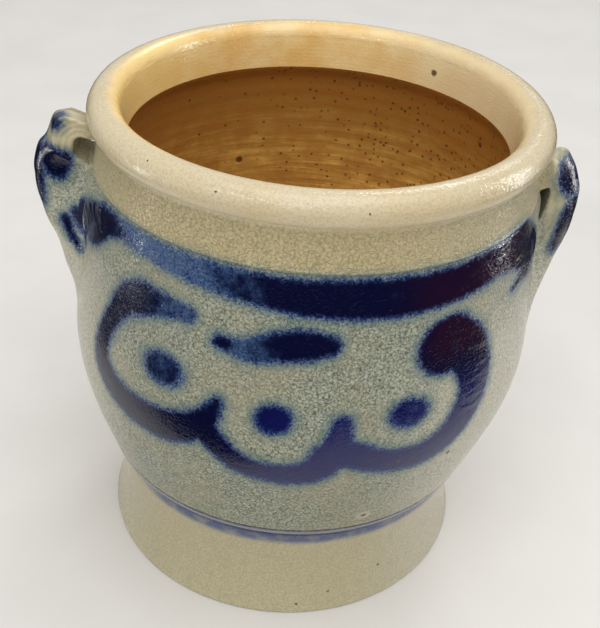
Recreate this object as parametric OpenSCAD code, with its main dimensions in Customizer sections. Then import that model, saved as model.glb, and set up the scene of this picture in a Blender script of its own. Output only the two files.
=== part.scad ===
// Open two-handled stoneware crock, thrown in one piece and fitted with two pulled strap handles.
// Millimetres, +Z up. The origin is the centre of the flat base, on the table.
// The painted front faces -Y and the handles stand at about +X and -X.

/* [Body] */
// Overall height, from the table to the top of the rim
height = 184.5; // [172:0.5:230]
// Radius of the base where it meets the table
foot_r = 72.8; // [66:0.1:82]
// How far the waist of the foot is drawn in from the base
waist_in = 3.2; // [1:0.1:7]
// Height of the waist above the table
waist_z = 20; // [12:0.5:28]
// Height of the turned line where the belly meets the foot
foot_line_z = 45.5; // [38:0.5:54]
// How far the belly stands out from the waist at that line
foot_line_out = 4.8; // [3:0.1:8]
// Largest radius of the belly
belly_r = 86.4; // [82:0.1:100]
// Height of the largest radius
belly_z = 95; // [84:1:104]
// How steeply the belly widens above the foot line, in mm per mm of height
belly_slope = 0.33; // [0.2:0.01:0.45]
// How far the shoulder is drawn in from the belly
shoulder_in = 3.4; // [2:0.1:5]
// Depth of the shoulder below the top of the rim
shoulder_drop = 59.5; // [52:0.5:64]
// How far the neck is drawn in from the belly
neck_in = 9.9; // [7:0.1:13]

/* [Rim] */
// How far the rolled rim stands out from the neck
rim_out = 3.5; // [2:0.1:5]
// Width of the roll, across the wall
rim_w = 11.4; // [9.5:0.1:14]
// Height of the roll
rim_h = 11.6; // [10:0.1:14]
// Thickness of the wall at the throat, the narrowest place of the mouth
throat_wall = 9.5; // [8:0.1:12]
// Depth of the throat below the top of the rim
throat_drop = 16.5; // [15:0.5:22]
// Height of the collar inside the mouth, from the even wall up to the throat
collar_h = 6.5; // [4:0.5:10]
// How far the fine bead under the roll stands out from the neck
bead_out = 0.6; // [0.2:0.1:1]
// Height of that bead
bead_h = 2; // [1.2:0.1:2.6]

/* [Wall and floor] */
// Thickness of the wall at the belly
wall = 7; // [5:0.1:9]
// Thickness of the wall inside the foot
foot_wall = 9; // [7:0.1:13]
// Thickness of the floor
floor_t = 11; // [8:0.5:16]
// Radius of the corner between the floor and the wall
floor_corner = 15; // [8:1:20]
// Bevel round the bottom edge of the base
foot_bevel = 1.1; // [0.5:0.1:2]

/* [Turned lines] */
// Depth of the upper turned line below the top of the rim, where the painted band starts
upper_line_drop = 25.5; // [22:0.5:32]
// Depth of a turned line
line_depth = 0.5; // [0.3:0.05:0.8]
// Height of a turned line
line_h = 1.2; // [0.8:0.1:1.8]
// Distance between a turned line and the finer line beside it
line_step = 3; // [2.2:0.1:5]
// Depth of the step at the foot line, where the belly overhangs the foot
foot_step = 1.6; // [0.8:0.1:2.4]

/* [Handles] */
// How far the left handle stands out from the wall
left_reach = 20.5; // [15:0.5:28]
// How far the right handle stands out from the wall
right_reach = 15; // [14:0.5:28]
// Depth of the top of the straps below the top of the rim
strap_drop = 10.5; // [8:0.5:12]
// Depth of the bend, where the straps stand out furthest, below the top of the rim
bend_drop = 28.5; // [25:0.5:34]
// Width of the finger gap, from the wall to the strap
finger_gap = 7.6; // [5:0.1:9]
// Height of the finger gap
finger_h = 11.5; // [9:0.5:16]
// Depth of the top of the left finger gap below the top of the rim
left_gap_drop = 16; // [15:0.5:24]
// Depth of the top of the right finger gap below the top of the rim
right_gap_drop = 23; // [16:0.5:26]
// How much wider the strap is where it is pressed on to the neck
root_flare = 2; // [0:0.5:8]
// Width of the strap round the finger gap
strap_w = 15; // [12:0.5:22]
// Width of the wiped tail, where the strap runs out on the belly
tail_w = 27; // [18:0.5:34]
// Length of the tail below the bend
tail_len = 47; // [38:1:56]
// Share of the thickness that the side edges of the strap have
edge_share = 0.52; // [0.35:0.01:0.75]
// Depth of the two finger grooves beside the middle rib
rib_depth = 0.7; // [0.3:0.05:1.2]
// How far each handle's top stands forward of the X axis, in degrees
handle_turn = 6; // [0:1:12]
// How much further forward the end of the tail stands, in degrees
tail_turn = 3; // [0:1:8]
// Thickness of the slip joint between a handle and the wall
slip_joint = 0.08; // [0.05:0.01:0.15]

/* [Hidden] */
$fn = 96;

waist_r = foot_r - waist_in;
foot_line_r = waist_r + foot_line_out;
shoulder_r = belly_r - shoulder_in;
shoulder_z = height - shoulder_drop;
neck_r = belly_r - neck_in;
rim_r = neck_r + rim_out;
throat_r = neck_r - throat_wall;
throat_z = height - throat_drop;
collar_z = throat_z - collar_h;
upper_line_z = height - upper_line_drop;
strap_top = height - strap_drop;
bend_z = height - bend_drop;
tail_end = bend_z - tail_len;

// Angles of the roll's oval at which it leaves the neck and ends in the mouth
roll_start = -62;
roll_end = 205;
// Height of the top of the straight neck, a bead's height under the end of the roll
neck_z = height - rim_h/2 + rim_h/2 * sin(roll_start) - bead_h;
// Rise from the foot line to where the inner wall starts to run parallel to the outer one, up to the collar
parallel_rise = 10;
parallel_z = foot_line_z + parallel_rise;
// Slopes of the inner wall at the floor and at the throat
floor_slope = 0.05;
throat_slope = -0.2;

// Distances between the points of a profile and of the collar, and the steps of the roll and of the floor's
// corner
profile_step = 4;
collar_step = 1.3;
roll_steps = 28;
corner_steps = 6;

// Value at t of a curve from a to b over a height h, with the slopes sa and sb
function curve(t, a, b, sa, sb, h) =
    a * (2*pow(t, 3) - 3*pow(t, 2) + 1) + b * (3*pow(t, 2) - 2*pow(t, 3))
    + sa * h * (pow(t, 3) - 2*pow(t, 2) + t) + sb * h * (pow(t, 3) - pow(t, 2));

// Value at z on the piece of curve between the stations a and b, each [height, radius, slope]
function between(z, a, b) = curve((z - a[0]) / (b[0] - a[0]), a[1], b[1], a[2], b[2], b[0] - a[0]);

// Mean slope from one station's height and radius to another's
function mean_slope(za, ra, zb, rb) = (rb - ra) / (zb - za);

// Stations of the thrown wall, each [height, radius, slope of the radius]
foot_station = [0, foot_r, 2 * mean_slope(0, foot_r, waist_z, waist_r)];
waist_station = [waist_z, waist_r, 0];
under_r = foot_line_r - foot_step;
under_line = [foot_line_z, under_r, 2 * mean_slope(waist_z, waist_r, foot_line_z, under_r)];
over_line = [foot_line_z, foot_line_r, belly_slope];
belly_station = [belly_z, belly_r, 0];
neck_slope = mean_slope(belly_z, belly_r, neck_z, neck_r);
shoulder_station = [shoulder_z, shoulder_r, neck_slope];
neck_station = [neck_z, neck_r, neck_slope];

// Outer radius of the wall at the height z
function wall_r(z) =
    z < waist_z ? between(max(z, 0), foot_station, waist_station)
    : z < foot_line_z ? between(z, waist_station, under_line)
    : z < belly_z ? between(z, over_line, belly_station)
    : z < shoulder_z ? between(z, belly_station, shoulder_station)
    : between(min(z, neck_z), shoulder_station, neck_station);

// Slope of the outer wall at the height z
function wall_slope(z) = mean_slope(z - 1, wall_r(z - 1), z + 1, wall_r(z + 1));

// Inner radius of the wall at the height z
function inside_r(z) =
    z < parallel_z ? between(z, [floor_t, waist_r - foot_wall, floor_slope],
        [parallel_z, wall_r(parallel_z) - wall, wall_slope(parallel_z)])
    : z < collar_z ? wall_r(z) - wall
    : between(z, [collar_z, wall_r(collar_z) - wall, wall_slope(collar_z)],
        [throat_z, throat_r, throat_slope]);

// Heights from a to b in about equal steps, without b
function heights(a, b, step = profile_step) =
    let (n = ceil(abs(b - a) / step)) [for (i = [0 : n - 1]) a + (b - a) * i / n];

// Points of a turned groove of depth d centred on the height z, going up
function groove(z, d = line_depth, h = line_h) = [
    [wall_r(z - h/2), z - h/2],
    [wall_r(z) - d, z],
    [wall_r(z + h/2), z + h/2]];

// The belly's overhang over the foot, above a turned line
function overhang() = [
    [wall_r(foot_line_z - line_h), foot_line_z - line_h],
    [under_r - line_depth, foot_line_z - line_h/2],
    [foot_line_r - line_depth/2, foot_line_z]];

// The fine bead under the roll, grown by a clearance
function bead(grow = 0) = [
    [neck_r + grow, neck_z],
    [neck_r + bead_out + grow, neck_z + bead_h/3],
    [neck_r + bead_out + grow, neck_z + bead_h * 2/3]];

// Outer side of the wall, from the table up to the underside of the roll
function outer_side() = concat(
    [[foot_r - foot_bevel, 0]],
    [for (z = heights(foot_bevel, foot_line_z - line_h)) [wall_r(z), z]],
    overhang(),
    groove(foot_line_z + line_step, line_depth/2, line_h/2),
    [for (z = heights(foot_line_z + line_step + line_h, upper_line_z - line_step - line_h)) [wall_r(z), z]],
    groove(upper_line_z - line_step, line_depth/2),
    groove(upper_line_z),
    [for (z = heights(upper_line_z + line_h, neck_z)) [wall_r(z), z]],
    bead());

// Rolled rim, as an oval from its outer underside over the top, ending at the angle b
function rim_roll(b = roll_end) = [for (i = [0 : roll_steps])
    let (t = roll_start + (b - roll_start) * i / roll_steps)
    [rim_r - rim_w/2 + rim_w/2 * cos(t), height - rim_h/2 + rim_h/2 * sin(t)]];

// Inner side, from the throat down to the middle of the floor
function inner_side() = concat(
    [for (z = heights(throat_z, collar_z, collar_step)) [inside_r(z), z]],
    [for (z = heights(collar_z, floor_t + floor_corner)) [inside_r(z), z]],
    [for (i = [0 : corner_steps])
        let (t = 90 * i / corner_steps, r = inside_r(floor_t + floor_corner))
        [r - floor_corner * (1 - cos(t)), floor_t + floor_corner * (1 - sin(t))]],
    [[0, floor_t]]);

module crock_body() {
    color("#b5b29d")
    rotate_extrude()
    polygon(concat([[0, 0]], outer_side(), rim_roll(), inner_side()));
}

// How deep the blank of a handle runs into the wall before it is cut back
bed = 2.5;
// Stations of a handle's crest over its bend, each [share of the reach, share of the drop to the bend]
bend_crest = [[-0.05, 0.06], [0.45, 0], [0.85, 0.35], [1, 1]];
// Stations of the crest down the tail, each [share of the reach, share of the tail's length]
tail_crest = [[0.88, 0.26], [0.6, 0.5], [0.24, 0.8], [0, 1]];
// Stations of the strap's side of the finger gap, each [share of its width, share of its height]
gap_edge = [[0.45, 0], [0.95, 0.25], [1, 0.5], [0.5, 1]];
// Stations of the blank's inner side in the wall, as shares of the drop from the gap to the end of the tail
bed_stations = [0.2, 0.6, 1];

// Exponent of the strap's section: 1 is an ellipse, and less is squarer
squareness = 0.7;
// Exponent of the crest's crown: 1 is a cosine, and less is flatter
crown_power = 0.8;
// Share of the thickness over which the strap's inner side is rounded
inner_round = 0.16;
// Distance of the finger grooves' outer edges from the middle, as a share of the width
groove_edge = 1/3;
// Thickness of the strap under which the finger grooves get shallower
groove_full = 4;
// Shares of the strap's length where its root's flare ends and its tail starts to fan out
flare_end = 0.18;
fan_start = 0.5;
fan_power = 1.5;

// Points of a section, and sections along a strap
ring_points = 24;
strap_rings = 34;

// The space that the wall fills, grown by the slip joint, which a handle is cut back to
module wall_space() {
    low = tail_end - 2 * bed;
    rotate_extrude()
    polygon(concat(
        [[0, low]],
        [for (z = heights(low, neck_z)) [wall_r(z) + slip_joint, z]],
        bead(slip_joint),
        [for (p = rim_roll(90)) p + [slip_joint, 0]],
        [[0, height]]));
}

// Point at t (0 to 1) of a smooth curve through the points p
function spline(p, t) =
    let (n = len(p) - 1, s = min(t * n, n - 0.0001), i = floor(s), f = s - i,
        a = p[max(i - 1, 0)], b = p[i], c = p[i + 1], d = p[min(i + 2, n)])
    b + 0.5 * f * (c - a + f * (2*a - 5*b + 4*c - d + f * (3*(b - c) + d - a)));

// A point that stands out from the wall by d at the height z
function off_wall(d, z) = [wall_r(z) + d, z];

// Outer crest of a handle, from the neck over the bend to the end of the tail
function crest_line(reach) = concat(
    [for (s = bend_crest) off_wall(s[0] * reach, strap_top + s[1] * (bend_z - strap_top))],
    [for (s = tail_crest) off_wall(s[0] * reach, bend_z - s[1] * tail_len)]);

// Inner side of a handle, from the neck round a finger gap with its top at the height top, and down the tail
function gap_line(top) =
    let (low = top - finger_h)
    concat(
        [off_wall(-bed, top)],
        [for (s = gap_edge) off_wall(s[0] * finger_gap, top - s[1] * finger_h)],
        [for (s = bed_stations) off_wall(-bed, low + s * (tail_end - low))]);

// Width of the strap at t along its length
function strap_width(t) = strap_w
    + (tail_w - strap_w) * pow(max(0, (t - fan_start) / (1 - fan_start)), fan_power)
    + root_flare * pow(max(0, (flare_end - t) / flare_end), 2);

// Outline of the strap's section: across the strap, and from its inner side (0) to its crest (1)
function section(i, depth) =
    let (a = 360 * i / ring_points,
        across = sign(cos(a)) * pow(abs(cos(a)), squareness) / 2,
        rise = pow(abs(sin(a)), squareness),
        crown = edge_share + (1 - edge_share) * pow(max(0, cos(180 * across)), crown_power),
        wave = abs(across) < groove_edge ? pow(sin(180 * across / groove_edge), 2) : 0,
        outer = crown - wave * rib_depth / max(depth, groove_full))
    [across, sin(a) < 0 ? inner_round * (1 - rise) : inner_round + (outer - inner_round) * rise];

// One ring of the strap, turned forward from the X axis
function ring(t, reach, gap_top) =
    let (crest = spline(crest_line(reach), t), inner = spline(gap_line(gap_top), t),
        depth = norm(crest - inner), turn = -(handle_turn + tail_turn * t))
    [for (i = [0 : ring_points - 1])
        let (q = section(i, depth), p = inner + (crest - inner) * q[1],
            x = p[0], y = q[0] * strap_width(t))
        [x * cos(turn) - y * sin(turn), x * sin(turn) + y * cos(turn), p[1]]];

module strap(reach, gap_top) {
    points = [for (k = [0 : strap_rings]) each ring(k / strap_rings, reach, gap_top)];
    last = strap_rings * ring_points;
    sides = [for (k = [0 : strap_rings - 1], i = [0 : ring_points - 1])
        let (a = k * ring_points + i, b = k * ring_points + (i + 1) % ring_points)
        each [[a, b + ring_points, b], [a, a + ring_points, b + ring_points]]];
    ends = [[for (i = [0 : ring_points - 1]) i], [for (i = [ring_points - 1 : -1 : 0]) last + i]];
    difference() {
        polyhedron(points, concat(sides, ends));
        wall_space();
    }
}

module right_handle() {
    color("#a9a894")
    strap(right_reach, height - right_gap_drop);
}

module left_handle() {
    color("#a9a894")
    mirror([1, 0, 0])
    strap(left_reach, height - left_gap_drop);
}

crock_body();
left_handle();
right_handle();
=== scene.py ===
# Open two-handled stoneware crock with a salt glaze and brushed cobalt bands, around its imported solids
import itertools
import math

import bpy
import numpy as np
from mathutils import Matrix, Vector


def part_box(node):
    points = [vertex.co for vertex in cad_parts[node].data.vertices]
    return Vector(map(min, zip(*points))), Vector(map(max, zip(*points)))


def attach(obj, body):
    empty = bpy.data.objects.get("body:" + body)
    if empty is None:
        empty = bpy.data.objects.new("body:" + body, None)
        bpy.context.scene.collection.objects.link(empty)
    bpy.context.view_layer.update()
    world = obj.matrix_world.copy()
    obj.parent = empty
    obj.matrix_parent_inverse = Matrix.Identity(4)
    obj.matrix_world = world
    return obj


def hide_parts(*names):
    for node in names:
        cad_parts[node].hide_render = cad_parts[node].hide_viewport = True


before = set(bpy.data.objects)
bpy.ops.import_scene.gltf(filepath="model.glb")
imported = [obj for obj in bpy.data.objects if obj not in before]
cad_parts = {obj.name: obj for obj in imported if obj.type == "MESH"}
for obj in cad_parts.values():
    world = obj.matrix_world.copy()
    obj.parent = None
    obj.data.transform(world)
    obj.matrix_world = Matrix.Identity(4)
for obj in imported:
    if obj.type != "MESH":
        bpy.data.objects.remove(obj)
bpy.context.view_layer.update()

# Sizes are in millimetres and angles in degrees, and meshes are written in metres
MM = 0.001

# Driving sizes, from the frame
body_low, body_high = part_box("crock_body")
HEIGHT = body_high.z / MM
BELLY_R = body_high.x / MM
MIDDLE_Z = HEIGHT / 2

# Thrown wall, as in the solid
FOOT_R = 72.8
WAIST_R = 69.6
WAIST_Z = 20
FOOT_LINE_Z = 45.5
FOOT_LINE_R = 74.4
FOOT_STEP = 1.6
BELLY_Z = 95
BELLY_SLOPE = 0.33
SHOULDER_R = BELLY_R - 3.4
SHOULDER_Z = HEIGHT - 59.5
NECK_R = BELLY_R - 9.9
NECK_Z = HEIGHT - 12.7
NECK_SLOPE = (NECK_R - BELLY_R) / (NECK_Z - BELLY_Z)
RIM_R = NECK_R + 3.5
RIM_W = 11.4
RIM_H = 11.6
ROLL_START = -62
ROLL_END = 168
THROAT_R = NECK_R - 9.5
THROAT_Z = HEIGHT - 16.5
COLLAR_Z = THROAT_Z - 6.5
WALL = 7
FOOT_WALL = 9
FLOOR_T = 11
FLOOR_CORNER = 15
FOOT_BEVEL = 1.1
# Rise from the foot line to where the inner wall starts to run parallel to the outer one
PARALLEL_RISE = 10
# Slopes of the inner wall at the floor, under the throat and in the funnel above it
FLOOR_SLOPE = 0.05
THROAT_SLOPE = -0.15
FUNNEL_SLOPE = 0.12

# Marks of the hand: lines in the funnel, rings inside, and unevenness of outside, mouth, roll and rim height
THROAT_LINE_PITCH = 1.5
THROAT_LINE_DEPTH = 0.006
THROWING_PITCH = 6.2
THROWING_DEPTH = 0.07
OUTSIDE_WAVE = 0.12
MOUTH_WAVE = 0.15
ROLL_DIMPLE = 0.07
RIM_LIFT = 0.12

# Turned lines: height, half height and depth of each, a ridge where the depth is negative
UPPER_LINE_Z = HEIGHT - 25.5
FOOT_GROOVE = (FOOT_LINE_Z - 0.5, 0.6, 1.0)
FOOT_FINE_GROOVE = (FOOT_LINE_Z + 3.2, 0.35, 0.35)
UPPER_GROOVE = (UPPER_LINE_Z - 0.6, 0.5, 0.25)
UPPER_RIDGE = (UPPER_LINE_Z + 0.5, 0.45, -0.35)
NECK_GROOVE = (HEIGHT - 10.6, 0.35, 0.45)
BEAD = (HEIGHT - 11.6, 0.6, -0.45)
GROOVES = [FOOT_GROOVE, FOOT_FINE_GROOVE, UPPER_GROOVE, UPPER_RIDGE, NECK_GROOVE, BEAD]

# The hand-thrown crock leans a little: sideways run of its axis per mm of height
LEAN_X = 4.98 / 165
LEAN_Y = -0.53 / 165

# Angle round the rolled rim, from outside over the top, where cream gives way to ochre, and half that change
OCHRE_ANGLE = 112
OCHRE_HALF = 22

# Mesh density: points in a ring, steps up the wall and at its turned lines, and the numbers of other rings
RING_POINTS = 640
WALL_STEP = 0.9
LINE_STEP = 0.25
BASE_RINGS = 60
ROLL_RINGS = 72
FUNNEL_RINGS = 60
CORNER_RINGS = 20
FLOOR_RINGS = 48


def between(z, low, high):
    """Radius at z on the smooth curve between two stations, each (height, radius, slope)."""
    (z0, r0, s0), (z1, r1, s1) = low, high
    h = z1 - z0
    t = (z - z0) / h
    return (r0 * (2*t**3 - 3*t**2 + 1) + r1 * (3*t**2 - 2*t**3)
            + s0 * h * (t**3 - 2*t**2 + t) + s1 * h * (t**3 - t**2))


def wall_radius(z):
    """Outer radius of the smooth wall at the heights z."""
    z = np.clip(np.asarray(z, float), 0, NECK_Z)
    foot = (0, FOOT_R, 2 * (WAIST_R - FOOT_R) / WAIST_Z)
    waist = (WAIST_Z, WAIST_R, 0)
    under_r = FOOT_LINE_R - FOOT_STEP
    under = (FOOT_LINE_Z, under_r, 2 * (under_r - WAIST_R) / (FOOT_LINE_Z - WAIST_Z))
    over = (FOOT_LINE_Z, FOOT_LINE_R, BELLY_SLOPE)
    belly = (BELLY_Z, BELLY_R, 0)
    shoulder = (SHOULDER_Z, SHOULDER_R, NECK_SLOPE)
    neck = (NECK_Z, NECK_R, NECK_SLOPE)
    below = [z < WAIST_Z, z < FOOT_LINE_Z, z < BELLY_Z, z < SHOULDER_Z]
    curves = [between(z, *ends) for ends in ((foot, waist), (waist, under), (over, belly), (belly, shoulder))]
    return np.select(below, curves, between(z, shoulder, neck))


def dent(z, centre, half, depth):
    """Depth at z of a rounded groove, or height of a ridge where depth is negative."""
    return depth * np.exp(-((z - centre) / half) ** 2)


def line_radius(z):
    """Outer radius of the wall with its turned lines."""
    return wall_radius(z) - sum(dent(z, *groove) for groove in GROOVES)


def inner_radius(z):
    """Inner radius of the wall at the heights z."""
    z = np.asarray(z, float)
    parallel_z = FOOT_LINE_Z + PARALLEL_RISE
    slope = float(wall_radius(parallel_z + 1) - wall_radius(parallel_z - 1)) / 2
    floor = (FLOOR_T, WAIST_R - FOOT_WALL, FLOOR_SLOPE)
    low = between(z, floor, (parallel_z, float(wall_radius(parallel_z)) - WALL, slope))
    collar = (COLLAR_Z, float(wall_radius(COLLAR_Z)) - WALL, NECK_SLOPE)
    high = between(z, collar, (THROAT_Z, THROAT_R, THROAT_SLOPE))
    return np.select([z < parallel_z, z < COLLAR_Z], [low, wall_radius(z) - WALL], high)


def wall_heights():
    """Heights of the wall's mesh rings: close together at the turned lines."""
    z = [FOOT_BEVEL]
    while z[-1] < NECK_Z:
        near = min(abs(z[-1] - g[0]) for g in GROOVES)
        z.append(z[-1] + (LINE_STEP if near < 2 else WALL_STEP))
    return np.array(z[:-1])


def body_profile():
    """Closed profile as (radius, height, zone), from the middle of the base round the wall to the floor.
    Zones: 0 base, 1 outside, 2 rim, 3 throat, 4 inside."""
    rows = [(r, 0, 0) for r in np.linspace(0, FOOT_R - FOOT_BEVEL, BASE_RINGS)]
    rows += [(FOOT_R - FOOT_BEVEL * (1 - math.sin(a)), FOOT_BEVEL * (1 - math.cos(a)), 1)
             for a in np.radians([15, 30, 45, 60, 75])]
    rows += [(r, z, 1) for z, r in zip(wall_heights(), line_radius(wall_heights()))]
    for angle in np.radians(np.linspace(ROLL_START, ROLL_END, ROLL_RINGS)):
        r = RIM_R - RIM_W/2 + RIM_W/2 * math.cos(angle)
        rows.append((r, HEIGHT - RIM_H/2 + RIM_H/2 * math.sin(angle), 2))
    roll_r, roll_z = rows[-1][:2]
    roll_slope = math.tan(math.radians(180 - ROLL_END))
    for z in np.linspace(roll_z, THROAT_Z, FUNNEL_RINGS + 1)[1:]:
        funnel = between(z, (THROAT_Z, THROAT_R, FUNNEL_SLOPE), (roll_z, roll_r, roll_slope))
        line = THROAT_LINE_DEPTH * math.sin(2 * math.pi * z / THROAT_LINE_PITCH)
        rows.append((funnel + line, z, 3))
    inside = np.arange(THROAT_Z, FLOOR_T + FLOOR_CORNER, -WALL_STEP)
    inside = np.concatenate([np.arange(THROAT_Z, COLLAR_Z, -LINE_STEP), inside[inside < COLLAR_Z]])[1:]
    rows += [(r, z, 4) for z, r in zip(inside, inner_radius(inside))]
    corner_r = float(inner_radius(FLOOR_T + FLOOR_CORNER))
    for angle in np.radians(np.linspace(0, 90, CORNER_RINGS)):
        rows.append((corner_r - FLOOR_CORNER * (1 - math.cos(angle)),
                     FLOOR_T + FLOOR_CORNER * (1 - math.sin(angle)), 4))
    rows += [(r, FLOOR_T, 4) for r in np.linspace(corner_r - FLOOR_CORNER, 0, FLOOR_RINGS)[1:]]
    return np.array(rows, float)


def waves(seed, azimuth, height, terms, pitch):
    """Smooth unevenness, about -1 to 1, over azimuths in radians and heights with a pitch in mm."""
    draw = np.random.default_rng(seed)
    total = np.zeros(np.broadcast(azimuth, height).shape)
    for _ in range(terms):
        turns = draw.integers(1, 6)
        rise = draw.normal(0, 1) * 2 * math.pi / pitch
        total += draw.uniform(0.4, 1) * np.sin(turns * azimuth + rise * height + draw.uniform(0, 2 * math.pi))
    return total / math.sqrt(terms)


def lean(points):
    """Shears points in mm by the crock's lean about its middle height."""
    out = points.copy()
    out[..., 0] += LEAN_X * (points[..., 2] - MIDDLE_Z)
    out[..., 1] += LEAN_Y * (points[..., 2] - MIDDLE_Z)
    return out


def add(name, data):
    """A new object in the scene."""
    made = bpy.data.objects.new(name, data)
    bpy.context.scene.collection.objects.link(made)
    return made


def add_mesh(name, points, faces, attributes):
    """A smooth mesh object in metres from points in mm, with one float attribute for each name."""
    mesh = bpy.data.meshes.new(name)
    mesh.from_pydata((points * MM).tolist(), [], faces)
    mesh.polygons.foreach_set("use_smooth", [True] * len(mesh.polygons))
    for key, values in attributes.items():
        layer = mesh.attributes.new(key, "FLOAT", "POINT")
        layer.data.foreach_set("value", np.asarray(values, np.float32).ravel())
    mesh.validate()
    mesh.update()
    return add(name, mesh)


def ring_faces(rows, columns):
    """Quads of a grid that closes round its columns."""
    i, j = np.mgrid[:rows - 1, :columns]
    a, b = i * columns + j, i * columns + (j + 1) % columns
    return np.stack([a, b, b + columns, a + columns], -1).reshape(-1, 4).tolist()


# Painted motif: azimuth in degrees from the front (-Y), positive to the right, and height in mm.
# A load of 1 is a full brush, near 0 a thin wash

# Upper painted band: azimuth, lower edge, upper edge, load
BAND = [(-61, 147, 156.4, 1), (-57, 147.6, 156.8, 0.9), (-50, 150.6, 157.2, 0.5), (-39, 150.6, 157, 0.25),
        (-25, 149.2, 157.4, 0.4), (-13, 147.2, 157.2, 0.7), (-2, 145.4, 157, 1),
        (9, 144.4, 157.4, 1), (20, 144, 157.2, 1), (33, 144.8, 157.4, 1), (50, 147, 158.4, 1),
        (56, 145, 159.4, 1), (62, 141.5, 158.8, 1), (70, 139, 153, 0.9), (74, 139, 148, 0.7)]
# Strokes, each a list of (azimuth, height, half width in mm, load)
TIP = [(-26.4, 138.2, 2.0, 0.7), (-31.5, 138, 3.2, 0.6), (-37, 137, 5.0, 0.7), (-42, 135, 5.8, 1),
       (-47, 129.2, 4.8, 1), (-51, 119, 3.6, 1)]
GARLAND = [(-47, 128.5, 4.4, 0.9), (-51, 119, 4, 1), (-53, 108, 4.4, 1), (-50.5, 100.5, 5, 1),
           (-43.5, 95.4, 5.6, 1), (-34.5, 94, 6.2, 1), (-26.5, 96.2, 6.2, 1), (-20.2, 103, 4.4, 0.9),
           (-17.8, 110.5, 2.2, 0.7)]
GARLAND_MIDDLE = [(-20.8, 100.5, 5, 0.9), (-16.6, 94, 4.4, 1), (-12.5, 89, 4.2, 1), (-6, 86, 4.2, 1),
                  (0.5, 86, 4.8, 1), (6, 89.8, 5.8, 1), (9, 99.5, 4.8, 1), (9.8, 107.5, 3, 0.8)]
GARLAND_RIGHT = [(7, 94.4, 5.6, 1), (12.5, 94.8, 5.6, 1), (18, 91.2, 5, 1), (25, 88.8, 5, 1),
                 (32, 89.8, 5.6, 1), (38, 95.2, 6.4, 1), (42, 104, 7.2, 1), (43.2, 114, 7.6, 1),
                 (40.5, 124, 8.6, 1), (37, 130, 8, 1)]
COMMA_HEAD = [(-18.6, 132.4, 2.2, 1), (-16.6, 131.9, 2.4, 0.9)]
COMMA = [(-17, 131.7, 2, 0.75), (-13.5, 131.5, 3, 0.52), (-10, 132.2, 4.2, 0.56), (-6, 134, 5, 0.78),
         (-1.5, 135.2, 5.4, 1), (1.5, 135.4, 5, 1), (5.4, 135.6, 3.4, 1)]
# The full brush that starts the band on the left handle's root, and the run from the right handle's root
START = [(-75.5, 141.8, 5.4, 1), (-70.5, 143.4, 6.6, 1), (-65, 146.4, 7.4, 1), (-60, 150, 6, 1),
         (-55, 153, 4, 0.9)]
RUN = [(74, 138, 2.4, 1), (68, 138.6, 2.6, 1), (62, 139, 2.2, 1), (57, 137.6, 1.2, 0.9)]
STROKES = [START, TIP, GARLAND, GARLAND_MIDDLE, GARLAND_RIGHT, COMMA, COMMA_HEAD, RUN]
# Dots, and the round blob that ends the garland: azimuth, height, half width and half height in mm, load
DOTS = [(-31.7, 115.8, 7.6, 5.8, 0.68), (-5.1, 108.4, 6, 5.4, 1), (24.9, 108.4, 6.8, 5.4, 0.8),
        (33.8, 130, 11.6, 10.6, 1)]
# Heights between which the wall is painted, and the paint's depth at a point that is far from any
PAINTED = (74, 168)
UNPAINTED = -9.0
# Blue slip at the foot line: heights from it at which wash, navy and lilac stripe each start, are full, fade
# and end, and the azimuths of the reach where they are strongest
WASH = (-9.6, -5.6, 1, 4)
NAVY_STRIPE = (-3.4, -2.4, 0.6, 1.1)
LILAC_STRIPE = (0.5, 1, 2.4, 2.8)
SLIP_REACH = (-56, -34, 50, 72)


def smooth_path(stations, count=40):
    """Points along a smooth curve through the stations."""
    p = np.array(stations, float)
    n = len(p) - 1
    s = np.linspace(0, n - 1e-6, count)
    i = s.astype(int)
    f = (s - i)[:, None]
    a, b, c, d = p[np.maximum(i - 1, 0)], p[i], p[i + 1], p[np.minimum(i + 2, n)]
    return b + 0.5 * f * (c - a + f * (2*a - 5*b + 4*c - d + f * (3*(b - c) + d - a)))


def stroke_depth(azimuth, z, scale, stations):
    """How far inside a brush stroke each point lies, in mm and negative outside, and its load there."""
    path = smooth_path(stations)
    best = np.full(azimuth.shape, -99.0)
    load = np.zeros(azimuth.shape)
    for (a0, z0, w0, l0), (a1, z1, w1, l1) in zip(path[:-1], path[1:]):
        dx, dz = (a1 - a0) * scale, z1 - z0
        px, pz = (azimuth - a0) * scale, z - z0
        t = np.clip((px * dx + pz * dz) / np.maximum(dx * dx + dz * dz, 1e-6), 0, 1)
        depth = w0 + (w1 - w0) * t - np.hypot(px - t * dx, pz - t * dz)
        load = np.where(depth > best, l0 + (l1 - l0) * t, load)
        best = np.maximum(best, depth)
    return best, load


def dot_depth(azimuth, z, scale, dot):
    """How far inside an oval dot each point lies, in mm, and its load."""
    a0, z0, half_w, half_h, load = dot
    away = np.hypot((azimuth - a0) * scale / half_w, (z - z0) / half_h)
    return (1 - away) * min(half_w, half_h), np.full(azimuth.shape, load)


def band_depth(azimuth, z, scale):
    """How far inside the upper painted band each point lies, in mm, and its load."""
    at, low, high, loads = np.array(BAND, float).T
    ends = np.minimum(azimuth - at[0], at[-1] - azimuth) * scale
    edge = np.minimum(z - np.interp(azimuth, at, low), np.interp(azimuth, at, high) - z)
    return np.minimum(edge, ends), np.interp(azimuth, at, loads)


def paint_on_wall(azimuth, z, radius):
    """Depth inside any painted shape on the wall, in mm and negative outside, and the load of paint there."""
    scale = radius * math.pi / 180
    shapes = [stroke_depth(azimuth, z, scale, s) for s in STROKES]
    shapes += [dot_depth(azimuth, z, scale, d) for d in DOTS]
    shapes.append(band_depth(azimuth, z, scale))
    return deepest(shapes)


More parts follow.
